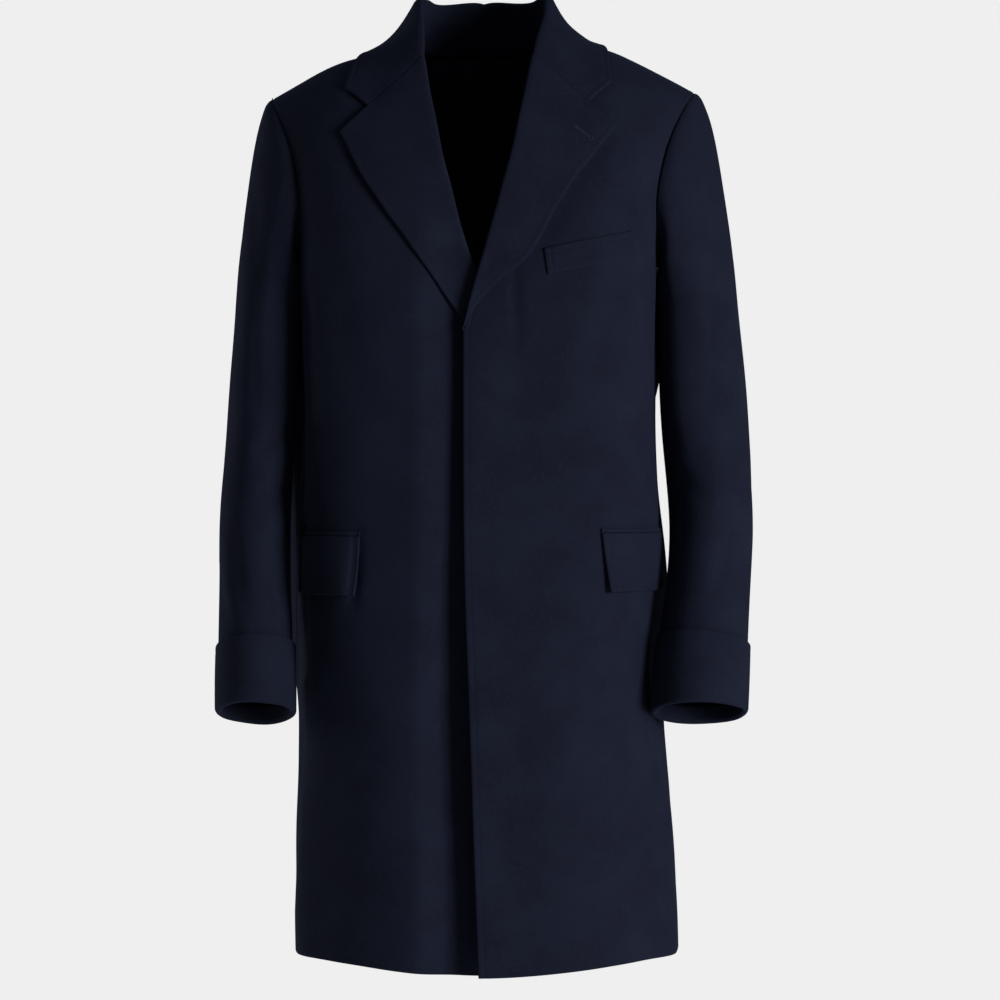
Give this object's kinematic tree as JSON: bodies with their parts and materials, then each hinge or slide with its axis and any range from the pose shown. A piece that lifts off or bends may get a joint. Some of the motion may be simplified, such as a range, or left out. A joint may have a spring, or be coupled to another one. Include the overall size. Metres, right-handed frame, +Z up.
{
  "type": "wool overcoat",
  "caption": "Single-breasted navy wool overcoat with notched lapels, fly front, flap pockets and turn-back cuffs, hollow as worn.",
  "frame": {"origin": "middle of the shoulder line, level with the points where the shoulder seams meet the neck, where the wearer's shoulders hold the coat", "axes": "+Z up; the wearer faces -Y; +X is the wearer's left"},
  "size_m": [0.582, 0.333, 1.0617],
  "materials": {
    "wool": "navy milled wool with a short soft nap"
  },
  "bodies": {
    "root": {"front_left": "wool", "front_right": "wool", "back_left": "wool", "back_right": "wool", "sleeve_top_left": "wool", "sleeve_under_left": "wool", "sleeve_top_right": "wool", "sleeve_under_right": "wool", "cuff_left": "wool", "cuff_right": "wool", "collar": "wool", "lapel_left": "wool", "lapel_right": "wool", "flap_left": "wool", "flap_right": "wool", "jet_left": "wool", "jet_right": "wool", "breast_welt": "wool"}
  },
  "joints": []
}
